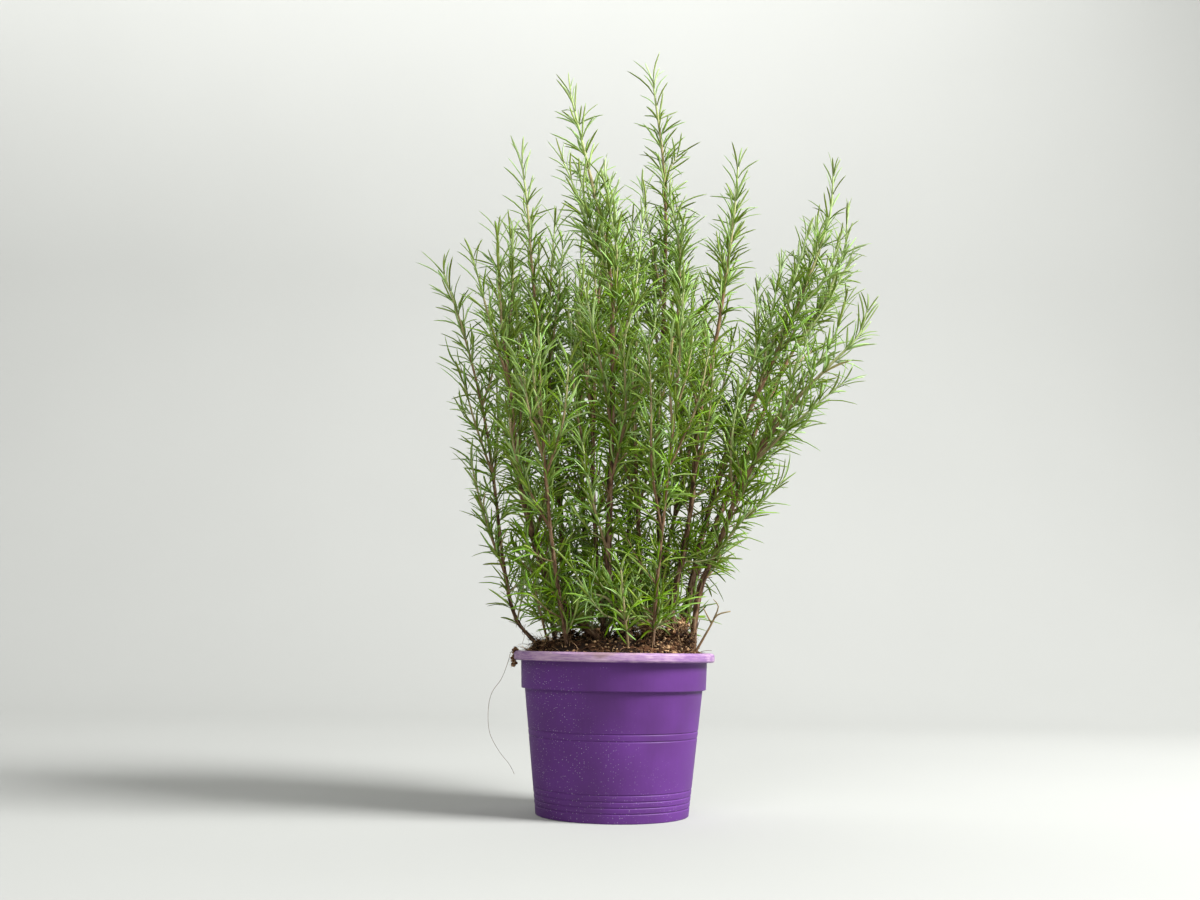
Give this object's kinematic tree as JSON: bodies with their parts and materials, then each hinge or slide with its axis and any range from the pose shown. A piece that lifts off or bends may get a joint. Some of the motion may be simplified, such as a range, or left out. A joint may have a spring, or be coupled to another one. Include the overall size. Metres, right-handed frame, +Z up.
{
  "type": "potted rosemary plant",
  "caption": "Bushy upright rosemary plant in a round tapered plastic nursery pot with a broad rim, a collar and pressed rings.",
  "frame": {"origin": "centre of the flat underside of the pot, on the surface that it stands on", "axes": "+Z up, +X to the side where the longest shoots lean out, +Y to the back"},
  "size_m": [0.462, 0.2958, 0.7995],
  "materials": {
    "pot_plastic": "satin",
    "growing_mix": "matte",
    "leaf": "matte",
    "bark": "matte"
  },
  "bodies": {
    "root": {"pot": "pot_plastic", "growing_mix": "growing_mix", "shoot_left_outer": "leaf", "shoot_left_front": "leaf", "shoot_left_tall": "leaf", "shoot_centre_front": "leaf", "shoot_centre_tall": "leaf", "shoot_right_upright": "leaf", "shoot_right_tall": "leaf", "shoot_right_low": "leaf", "shoot_right_back": "leaf", "shoot_back_left": "leaf", "shoot_back_centre_left": "leaf", "shoot_back_centre": "leaf", "shoot_back_right": "leaf", "shoot_middle": "leaf", "shoot_front_right": "leaf", "shoot_front_left": "leaf", "shoot_inner_right": "leaf", "sprig_front": "leaf", "sprig_left": "leaf", "sprig_back": "leaf", "dry_twig": "bark"}
  },
  "joints": []
}
